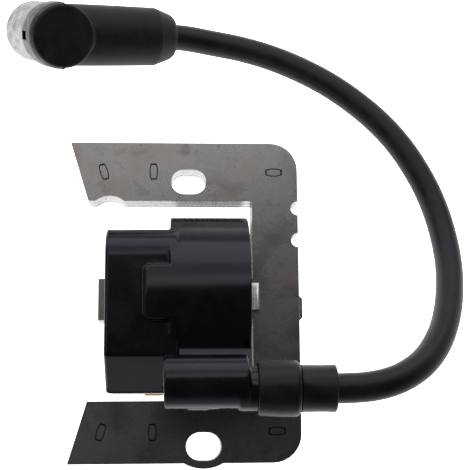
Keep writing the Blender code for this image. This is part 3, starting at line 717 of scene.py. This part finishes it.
# --- moulded case -----------------------------------------------------
def body_field(x, y, z):
    """Bulge, end block and web of the case, open downwards for ever."""
    rise = y - CENTRE_Y
    round_top = np.where(z > LEG_Z, np.hypot(rise, z - LEG_Z), np.abs(rise)) - COIL_R
    bulge = meet(round_top, between(x, back(COIL_BACK), back(COIL_FRONT)), 0.4)
    run, drop = BLOCK_DOWN - LEAN - SLOPE_Y, SLOPE_Z - BLOCK_TOP
    size = math.hypot(run, drop)
    slope_plane = ((rise - SLOPE_Y) * drop - (z - BLOCK_TOP) * run) / size
    section = meet(rise - BLOCK_UP, z - BLOCK_TOP, BLOCK_ROUND)
    section = meet(meet(section, slope_plane, 0.5), BLOCK_DOWN - LEAN * z / SLOPE_Z - rise, 0.4)
    block_front = back(COIL_BACK - BLOCK_LAP)
    block = meet(section, between(x, back(BLOCK_BACK), block_front), 0.8)
    panel_edge = meet(np.abs(rise) - PANEL_HALF, back(PANEL_BACK) - x, 1.6)
    panel = meet(np.maximum(np.hypot(rise, z - LEG_Z) - COIL_R, BLOCK_TOP - PANEL_DEPTH - z),
                 np.maximum(panel_edge, x - block_front), 0.55)
    web = meet(between(rise, BLOCK_DOWN, WEB_UP), between(x, back(TOWER_BACK), back(COIL_FRONT)), 0.6)
    web = np.maximum(web, z - WEB_TOP)
    return join(np.minimum(join(block, bulge, 0.45), join(block, panel, 0.5)), web, 0.6)


def tower_field(x, y, z):
    """High-tension tower, the rib that carries it, and the neck under the sleeve."""
    tower = rod_field(x, y, z, (up(TOWER_Y), TOWER_Z), TOWER_R, back(TOWER_BACK), back(TOWER_FRONT), 0.55)
    rise = y - CENTRE_Y
    rib = meet(between(rise, BLOCK_DOWN, RIB_UP), between(x, back(TOWER_BACK), back(TOWER_FRONT)), 0.5)
    rib = np.maximum(rib, between(z, RIB_LOW, TOWER_Z))
    neck = rod_field(x, y, z, (up(OUTLET_Y), TOWER_Z), NECK_R, back(TOWER_FRONT + 2), back(NECK_FRONT), 0.4)
    gate = rod_field(x, y, z, (up(TOWER_Y) - TOWER_R + GATE_SINK, TOWER_Z), GATE_R, back(GATE_BACK),
                     back(GATE_FRONT), 0.5)
    return join(join(join(tower, rib, 0.8), neck, 0.8), gate, 0.3)


def ledge_field(x, y, z):
    """Strip between the bulge and the tower that slopes down from the tower."""
    rise = y - CENTRE_Y
    tilt = math.radians(LEDGE_TILT)
    above = (z - LEDGE_Z) * math.cos(tilt) + (rise - LEDGE_Y) * math.sin(tilt)
    return np.maximum(meet(above, between(x, back(COIL_BACK), back(COIL_FRONT)), 0.4),
                      np.maximum(between(rise, TOWER_Y, LEDGE_Y + 4.0), RIB_LOW - z))


def case_field(x, y, z):
    body = body_field(x, y, z)
    whole = join(join(body, tower_field(x, y, z), 0.5), ledge_field(x, y, z), 0.5)
    shell = carve(meet(whole, -z, 0.25), body + WALL, 0.25)
    rise = y - CENTRE_Y
    leg_way = meet(np.abs(rise) - BORE_HALF, between(z, BORE_LOW, BORE_HIGH), 0.3)
    lead_way = rod_field(x, y, z, (up(OUTLET_Y), TOWER_Z), LEAD_BORE, back(PIN_SEAT),
                         back(NECK_FRONT) + 5, 0.2)
    spade_width = between(x, back(SPADE_BACK), back(SPADE_FRONT))
    spade_way = np.maximum(meet(spade_width, between(z, SPADE_LOW, SPADE_HIGH), 0.1),
                           between(rise, BLOCK_DOWN - 1, BLOCK_DOWN + WALL + 1))
    sunk_wall = rise - BLOCK_DOWN + LEAN * RECESS_Z / SLOPE_Z - RECESS_DEPTH
    recess = np.maximum(spade_width, np.maximum(z - SPADE_HIGH, sunk_wall))
    return carve(carve(carve(carve(shell, leg_way), lead_way), spade_way, 0.1), recess, 0.1)


def build_case():
    black = moulded_finish("case_plastic", (0.006, 0.006, 0.0075), 0.2, 0.04, 0.08)
    low = [v - 1.0 for v in CASE_LOW]
    high = [v + 1.0 for v in CASE_HIGH]
    case = solid("case_moulding", case_field, low, high, CASE_STEP, black, 0.35)
    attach(case, "module")
    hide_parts("module_case")


def potting_field(x, y, z):
    """Poured compound: it creeps up the case's walls, and a few bubbles have burst in it."""
    wall = body_field(x, y, z) + WALL + 0.12
    creep = POTTING_CREEP * np.exp(np.minimum(wall, 0) / 1.1)
    level = POTTING_BACK - creep + 0.12 * np.sin(x * 0.21 + 1.0) * np.cos(y * 0.17)
    filled = np.maximum(np.maximum(wall, level - z), z - POTTING_TOP)
    random = np.random.default_rng(3)
    for _ in range(BUBBLES):
        cx, cy = random.uniform(-18, 9), random.uniform(-17, 14)
        r = random.uniform(0.3, 0.8)
        bubble = np.sqrt((x - cx) ** 2 + (y - cy) ** 2 + (z - BUBBLE_Z) ** 2) - r
        filled = carve(filled, bubble, 0.12)
    return filled


def build_potting():
    epoxy = Finish("potting_epoxy", (0.03, 0.018, 0.012), 0.0, 0.16, Coat_Weight=0.4)
    cloud = epoxy.noise((0.12, 0.12, 0.12), 4, 0.6, distortion=0.6)
    epoxy.paint("Base Color", epoxy.colours(cloud, [(0.35, (0.016, 0.011, 0.009)),
                                                    (0.65, (0.05, 0.03, 0.019))]))
    epoxy.paint("Roughness", epoxy.level(cloud, 0.3, 0.7, 0.1, 0.26))
    epoxy.emboss(epoxy.noise((0.6, 0.6, 0.6), 3, 0.5), 0.06, 0.4)
    low = (CASE_LOW.x + WALL - 0.5, CASE_LOW.y + 3.0, -0.3)
    high = (back(COIL_FRONT) - WALL + 1.0, up(COIL_R) - WALL + 0.5, 4.0)
    fill = solid("potting_fill", potting_field, low, high, CASE_STEP, epoxy.material, 0.5)
    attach(fill, "module")
    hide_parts("potting_cap")


# --- small metal pieces -----------------------------------------------
def pressed(outline, low, high, bevel, holes=()):
    """A flat pressed part: an outline given thickness, with broken edges."""
    shape = bmesh.new()
    loops = [turned_loop(list(outline), False)] + [turned_loop(list(hole), True) for hole in holes]
    prism(shape, loops, ((low, bevel), (low + bevel * 0.3, bevel * 0.3), (low + bevel, 0.0),
                         (high - bevel, 0.0), (high - bevel * 0.3, bevel * 0.3), (high, bevel)))
    return shape


def rounded_box(x, y, r, steps=5):
    """Outline of a rectangle with round corners."""
    points = []
    for cx, cy, start in ((x[1] - r, y[1] - r, 0), (x[0] + r, y[1] - r, 90), (x[0] + r, y[0] + r, 180),
                          (x[1] - r, y[0] + r, 270)):
        points += arc((cx, cy), r, start, start + 90, steps)
    return points


def build_clip():
    """Spring strip that wedges the coil on the leg: its end, with small grooves, shows on the spine."""
    low, high = place("coil_retaining_clip")
    tinned = plated_finish("tinned_steel", (0.95, 0.95, 0.95), 0.4)
    outline = rounded_box((low.x, high.x), (low.y, high.y), 0.3)
    strip = pressed(outline, low.z, high.z, 0.12)
    middle = (low.y + high.y) / 2
    for vert in strip.verts:
        vert.co.z -= (vert.co.y - middle) * CLIP_SKEW
    clip = from_bmesh("retaining_strip", strip, tinned)
    reach = high.y - low.y + 2
    for i in range(GROOVES):
        start = (high.x - GROOVE_EDGE - i * GROOVE_PITCH, low.y - 1, high.z + GROOVE_RISE)
        groove = lathe([(0.0, 0.0), (GROOVE_R, 0.0), (GROOVE_R, reach), (0.0, reach)], start, (0, 1, 0), 16)
        cut(clip, from_bmesh("groove", groove, tinned))
    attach(clip, "module")
    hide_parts("coil_retaining_clip")


def build_spade():
    """Stop-switch spade: a bent brass tab with a hole and a chamfered tip."""
    low, high = place("stop_switch_terminal")
    brass = plated_finish("terminal_brass", (0.66, 0.44, 0.16), 0.28)
    root_z, tip_z = high.z - SPADE_SHEET, low.z + SPADE_TIP
    outline = [(low.x, root_z), (low.x, tip_z), (low.x + SPADE_TIP, low.z), (high.x - SPADE_TIP, low.z),
               (high.x, tip_z), (high.x, root_z)]
    hole = arc(((low.x + high.x) / 2, low.z + SPADE_HOLE_Z), SPADE_HOLE_R, 0, 330, 11)
    blade = pressed(outline, low.y, low.y + SPADE_SHEET, 0.1, [hole])
    bmesh.ops.transform(blade, matrix=Matrix(((1, 0, 0, 0), (0, 0, 1, 0), (0, 1, 0, 0), (0, 0, 0, 1))),
                        verts=blade.verts)
    foot = rounded_box((low.x, high.x), (low.y + 0.1, high.y), 0.1, 2)
    seat = pressed(foot, root_z, high.z, 0.1)
    spade = from_bmesh("stop_switch_spade", blade, brass)
    root = from_bmesh("stop_switch_foot", seat, brass)
    for piece in (spade, root):
        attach(piece, "module")
        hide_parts("stop_switch_terminal")


# --- sleeve, lead, boot, shield ---------------------------------------
def build_sleeve():
    large = SLEEVE_BACK - SLEEVE_SHOULDER
    length = SLEEVE_BACK - SLEEVE_END
    over_neck = SLEEVE_BACK - NECK_FRONT + 0.3
    inner = NECK_R + 0.3
    profile = [(inner, 0.25), (inner + 0.25, 0.0), (SLEEVE_R - 0.75, 0.0)]
    profile += arc((SLEEVE_R - 0.75, 0.4), 0.4, -90, 0, 4)[1:]
    profile += [(SLEEVE_R - 0.2, large * 0.2), (SLEEVE_R, large * 0.5), (SLEEVE_R - 0.02, large - 2.0)]
    profile += arc((SLEEVE_R - 0.05 - SLEEVE_ROUND, large - SLEEVE_ROUND), SLEEVE_ROUND, 8, 78, 8)
    profile += [(SLEEVE_SMALL_R + 0.1, large + 0.1), (SLEEVE_SMALL_R, large + 0.4),
                (SLEEVE_SMALL_R - 0.02, length * 0.85), (SLEEVE_SMALL_R + 0.08, length - 0.6)]
    profile += arc((SLEEVE_SMALL_R - 0.47, length - 0.55), 0.55, 0, 90, 5)
    profile += [(SLEEVE_BORE + 0.3, length), (SLEEVE_BORE, length - 0.35), (SLEEVE_BORE, over_neck),
                (inner, over_neck)]
    rubber = rubber_finish("sleeve_rubber", (0.012, 0.012, 0.0135), 0.35, 0.35)
    shape = lathe(profile, (back(SLEEVE_BACK), up(OUTLET_Y), TOWER_Z), (1, 0, 0))
    sleeve = from_bmesh("rubber_sleeve", shape, rubber, angle=50)
    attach(sleeve, "sleeve")
    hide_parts("lead_sleeve")


def smooth_route(points, step):
    """Points about one step apart on a Catmull-Rom curve through the given points."""
    knots = [Vector(p) for p in points]
    ends = [2 * knots[0] - knots[1]] + knots + [2 * knots[-1] - knots[-2]]
    line = [knots[0]]
    for before, a, b, after in zip(ends, ends[1:], ends[2:], ends[3:]):
        count = max(1, round((b - a).length / step))
        for i in range(1, count + 1):
            t = i / count
            line.append(0.5 * (2 * a + (b - before) * t + (2 * before - 5 * a + 4 * b - after) * t * t
                               + (3 * a - before - 3 * b + after) * t ** 3))
    return line


def build_lead():
    line = smooth_route(LEAD_ROUTE, ROUTE_STEP)
    curve = bpy.data.curves.new("high_tension_lead", "CURVE")
    curve.dimensions = "3D"
    curve.bevel_depth = LEAD_R * MM
    curve.bevel_resolution = 10
    curve.render_resolution_u = 0
    curve.use_fill_caps = True
    spline = curve.splines.new("POLY")
    spline.points.add(len(line) - 1)
    for slot, point in zip(spline.points, line):
        slot.co = (*(point * MM), 1.0)
    spline.use_smooth = True
    curve.materials.append(rubber_finish("lead_rubber", (0.015, 0.015, 0.016), 0.38, 0.3))
    lead = bpy.data.objects.new("high_tension_lead", curve)
    bpy.context.scene.collection.objects.link(lead)
    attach(lead, "module")
    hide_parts("ignition_lead")
    return lead


def arm_radius(t):
    """The arm's outline: slightly barrelled, with a cone near its mouth."""
    barrel = np.clip((t - ARM_BARREL) / (ARM_TAPER - ARM_BARREL), 0, 1) ** 1.5
    narrowing = (ARM_R - ARM_END_R) * barrel
    cone = np.interp(t, (ARM_TAPER, ARM_LENGTH - 0.8), (0.0, ARM_END_R - ARM_MOUTH_R))
    return ARM_R - narrowing - cone


def boot_field(x, y, z):
    """Arm for the lead, elbow with a round head, and the plug end under the shield."""
    arm_t, arm_away = measure(x, y, z, ELBOW, BOOT_DIR)
    plug_t, plug_away = measure(x, y, z, ELBOW, PLUG_DIR)
    arm = meet((arm_away - arm_radius(arm_t)) * 0.95, between(arm_t, 0.0, ARM_LENGTH), 1.5)
    disc_end = HEAD_DEPTH - HEAD_RISE
    head = meet(meet(plug_away - HEAD_R, -HEAD_RISE - plug_t, HEAD_ROUND), plug_t - disc_end, 0.1)
    plug_r = np.select([plug_t < HEAD_NECK_END, plug_t < PLUG_STEP], [HEAD_NECK_R, PLUG_R], PLUG_NECK_R)
    plug = meet(plug_away - plug_r, between(plug_t, 0.5 - HEAD_RISE, PLUG_LENGTH), 0.4)
    flash = np.maximum(np.maximum(np.abs(arm_t) - FLASH_HALF, plug_away - HEAD_R - FLASH_RISE),
                       between(plug_t, 0.4 - HEAD_RISE, disc_end))
    whole = join(np.minimum(join(head, plug, 0.2), flash), arm, 0.7)
    cavity = meet(plug_away - CAVITY_R, between(plug_t, -CAVITY_TOP, PLUG_LENGTH + 3), 0.4)
    groove = between(np.mod(plug_t - GRIP_START - 0.5, GRIP_PITCH), 0.0, GRIP_WIDTH)
    grip = np.maximum(np.maximum(plug_away - CAVITY_R - GRIP_DEPTH, groove),
                      between(plug_t, GRIP_START, PLUG_LENGTH - 1.0))
    way = meet(arm_away - LEAD_R - 0.02, between(arm_t, 0.0, ARM_LENGTH + 3), 0.2)
    mouth = meet(arm_away - LEAD_R - 0.9, between(arm_t, ARM_LENGTH - 0.5, ARM_LENGTH + 3), 0.3)
    return carve(carve(carve(carve(whole, cavity, 0.3), grip, 0.1), way, 0.2), mouth, 0.3)


def build_boot():
    low, high = place("plug_boot")
    rubber = rubber_finish("boot_rubber", (0.0125, 0.0125, 0.0135), 0.52, 0.5)
    low, high = [v - 1.0 for v in low], [v + 1.0 for v in high]
    boot = solid("elbow_boot", boot_field, low, high, BOOT_STEP, rubber, 0.4)
    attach(boot, "boot")
    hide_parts("plug_boot")
    return boot


def build_shield():
    """Drawn metal tube with a rolled bead, a step, a pressed slot and the way for the boot's arm."""
    length = SHIELD_END - SHIELD_TOP
    step = SHIELD_STEP - SHIELD_TOP
    inner, inner_end = SHIELD_R - SHIELD_SHEET, SHIELD_END_R - SHIELD_SHEET
    curl = [(0.7, 0.0), (0.62, 0.12), (0.3, 0.6), (0.05, 1.25)]
    outside = [(SHIELD_R - inset, height) for inset, height in curl]
    outside += [(SHIELD_R, step * k / 6) for k in range(1, 6)]
    outside += [(SHIELD_R, step - 0.2), (SHIELD_R - 0.1, step + 0.05), (SHIELD_END_R + 0.08, step + 0.5),
                (SHIELD_END_R, step + 0.9)]
    reach = length - step - 0.9
    outside += [(SHIELD_END_R, step + 0.9 + reach * k / 8) for k in range(1, 7)]
    bead = arc((SHIELD_END_R - 0.35, length - 0.45), 0.45, -35, 90, 6)
    inside = [(inner_end, length - 0.1)]
    inside += [(inner_end, step + 0.9 + reach * k / 8) for k in range(6, 0, -1)]
    inside += [(inner_end, step + 0.8), (inner, step - 0.1)]
    inside += [(inner, step * k / 6) for k in range(5, 0, -1)]
    inside += [(inner - inset, height) for inset, height in reversed(curl)]
    metal = shield_finish()
    start = ELBOW + PLUG_DIR * SHIELD_TOP
    shape = lathe(outside + bead + inside, start, PLUG_DIR, 120)
    dent(shape, start)
    shield = from_bmesh("plug_shield_tube", shape, metal, angle=40)
    clear = ARM_R + ARM_CLEARANCE
    side = BOOT_DIR.cross(PLUG_DIR).normalized() * clear
    arm_way = [(0.0, 0.0), (clear, 0.0), (clear, ARM_WAY), (0.0, ARM_WAY)]
    cut(shield, from_bmesh("way", lathe(arm_way, ELBOW, BOOT_DIR, 72), metal))
    gate = bmesh.new()
    corners = [gate.verts.new(ELBOW + sign * side + lift + out)
               for sign in (-1, 1) for lift in (PLUG_DIR * (SHIELD_TOP - 2.0), Vector()) for out in
               (Vector(), BOOT_DIR * ARM_WAY)]
    bmesh.ops.convex_hull(gate, input=corners)
    cut(shield, from_bmesh("gate", gate, metal))
    outward = -(BOOT_DIR - PLUG_DIR * BOOT_DIR.dot(PLUG_DIR)).normalized()
    across = PLUG_DIR.cross(outward).normalized()
    slot_at = ELBOW + PLUG_DIR * SLOT_AT + outward * SHIELD_R + Vector(SLOT_SHIFT)
    slot = bmesh.new()
    bmesh.ops.create_cube(slot, size=1.0)
    wide, long, deep = SHIELD_SLOT
    turn = Matrix((across * wide, PLUG_DIR * long, outward * deep)).transposed().to_4x4()
    bmesh.ops.transform(slot, matrix=Matrix.Translation(slot_at) @ turn, verts=slot.verts)
    cut(shield, from_bmesh("slot", slot, metal))
    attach(shield, "boot")
    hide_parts("plug_shield")
    return shield


def dent(shape, start):
    """Slight unevenness of a drawn tube, less than a tenth of a millimetre deep."""
    across = PLUG_DIR.orthogonal()
    other = PLUG_DIR.cross(across)
    for vert in shape.verts:
        offset = vert.co - start
        t = offset.dot(PLUG_DIR)
        radial = offset - PLUG_DIR * t
        turn = math.atan2(radial.dot(across), radial.dot(other))
        wave = math.sin(3 * turn + t * 0.35) + 0.6 * math.sin(7 * turn - t * 0.5 + 1.0)
        vert.co -= radial.normalized() * DENT * (1.0 + wave * 0.6)


# --- pieces kept from the CAD -----------------------------------------
def dress_inner_pieces():
    nylon = plain_detail_finish("bobbin_nylon", (0.48, 0.44, 0.34), 0.45)
    film = plain_detail_finish("insulation_film", (0.62, 0.50, 0.18), 0.3, (0.6, 5.0, 5.0))
    board = plain_detail_finish("board_laminate", (0.30, 0.21, 0.08), 0.5, (5.0, 0.8, 5.0))
    epoxy = plain_detail_finish("component_epoxy", (0.03, 0.03, 0.032), 0.45)
    coarse = wound_finish("primary_wire", (0.62, 0.24, 0.08), 0.6)
    thin = wound_finish("secondary_wire", (0.55, 0.20, 0.07), 0.22)
    brass = plated_finish("inner_brass", (0.64, 0.43, 0.15), 0.3)
    tinned = plated_finish("inner_tin", (0.6, 0.6, 0.6), 0.35)
    chosen = {
        "primary_bobbin": nylon, "secondary_bobbin": nylon, "charge_coil_bobbin": nylon,
        "trigger_coil_bobbin": nylon, "primary_winding": coarse, "charge_coil_winding": thin,
        "trigger_coil_winding": thin, "interlayer_insulation": film, "storage_capacitor": film,
        "circuit_board": board, "thyristor": epoxy, "charge_diode": epoxy, "clamp_diode": epoxy,
        "gate_resistor": epoxy, "ground_strap": tinned, "high_tension_terminal": brass,
        "secondary_output_wire": coarse, "plug_terminal_clip": brass, "lead_terminal_pin": brass,
    }
    chosen.update({f"secondary_winding_{i}": thin for i in range(1, 5)})
    for node, material in chosen.items():
        data = NODES[node].data
        for i in range(len(data.materials)):
            data.materials[i] = material
        if not data.materials:
            data.materials.append(material)


# --- stage ------------------------------------------------------------
def build_camera():
    data = bpy.data.cameras.new("camera")
    data.lens, data.sensor_width = LENS, SENSOR
    data.clip_start, data.clip_end = 0.01, 10.0
    camera = bpy.data.objects.new("camera", data)
    turn = Matrix.Identity(4)
    for angle, axis in zip(CAMERA_TURN, "XYZ"):
        turn = turn @ Matrix.Rotation(math.radians(angle), 4, axis)
    camera.matrix_world = Matrix.Translation(Vector(CAMERA_AT) * MM) @ turn.transposed()
    bpy.context.scene.collection.objects.link(camera)
    bpy.context.scene.camera = camera


def softbox(name, azimuth, elevation, size, radiance, colour):
    """A rectangular light of the given radiance, facing the part. Azimuth 0 is on the +Y side."""
    a, e = math.radians(azimuth), math.radians(elevation)
    towards = Vector((math.sin(a) * math.cos(e), math.cos(a) * math.cos(e), math.sin(e)))
    data = bpy.data.lights.new(name, "AREA")
    data.shape = "RECTANGLE"
    data.size, data.size_y = size
    data.energy = radiance * math.pi * size[0] * size[1]
    data.color = colour
    light = bpy.data.objects.new(name, data)
    light.location = towards * LIGHT_DISTANCE + Vector((0, 0, LIGHT_AIM))
    light.rotation_euler = towards.to_track_quat("Z", "Y").to_euler()
    bpy.context.scene.collection.objects.link(light)


def build_stage():
    shape = bmesh.new()
    bmesh.ops.create_grid(shape, x_segments=8, y_segments=8, size=FLOOR_HALF)
    bmesh.ops.translate(shape, vec=(0, 0, -FLOOR_SINK), verts=shape.verts)
    floor = from_bmesh("floor", shape, floor_finish())
    build_world()
    for light in LIGHTS:
        softbox(*light)
    bpy.context.scene.view_settings.view_transform = "Standard"


def build_world():
    """Grey near the horizon and dark overhead, as in an open-topped light tent. The camera sees white."""
    world = bpy.data.worlds.new("studio")
    bpy.context.scene.world = world
    world.use_nodes = True
    tree = world.node_tree
    coordinates = add_node(tree, "TexCoord", {})
    split = add_node(tree, "SeparateXYZ", {"Vector": coordinates.outputs["Generated"]})
    ramp = add_node(tree, "ValToRGB", {"Fac": split.outputs["Z"]})
    stops = ramp.color_ramp.elements
    stops.new(0.5)
    for stop, (height, grey) in zip(stops, SKY):
        stop.position = height
        stop.color = (grey, grey, grey * 1.08, 1.0)
    path = add_node(tree, "LightPath", {})
    mix = add_node(tree, "Mix", {"Factor": path.outputs["Is Camera Ray"], "A": ramp.outputs["Color"],
                                 "B": (1.0, 1.0, 1.0, 1.0)}, data_type="RGBA")
    tree.links.new(mix.outputs["Result"], tree.nodes["Background"].inputs["Color"])


build_camera()
shield = build_shield()
boot = build_boot()
build_lead()
build_sleeve()
build_case()
build_potting()
build_laminations()
build_clip()
build_spade()
dress_inner_pieces()
build_stage()
